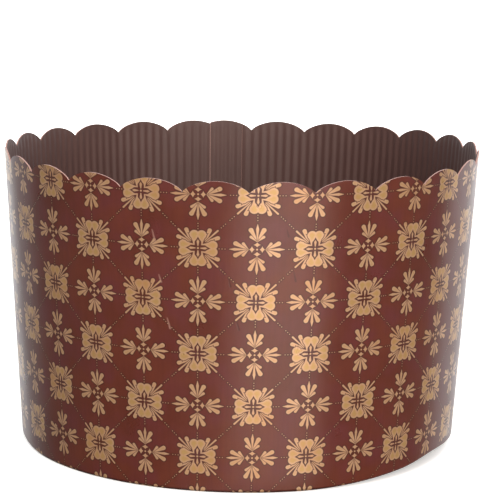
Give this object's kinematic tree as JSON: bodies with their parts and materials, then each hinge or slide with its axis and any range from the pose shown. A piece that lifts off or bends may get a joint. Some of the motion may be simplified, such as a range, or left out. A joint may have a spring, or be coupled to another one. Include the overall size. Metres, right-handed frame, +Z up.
{
  "type": "panettone paper mold",
  "caption": "Low round paper baking cup with a scalloped rim, a lapped side wall, a folded pleated hem at its foot and a perforated paper base.",
  "frame": {"origin": "centre of the foot, on the surface that the mold stands on", "axes": "+Z up out of the open rim; -Y towards the viewer of the picture; the lap seam is at +Y"},
  "size_m": [0.1836, 0.184, 0.116],
  "materials": {
    "printed_paper": "satin coated brown paper with a gold ornament printed in a lattice",
    "plain_paper": "matte dark brown baking paper"
  },
  "bodies": {
    "root": {"side_wall": "printed_paper", "base_disc": "plain_paper"}
  },
  "joints": []
}
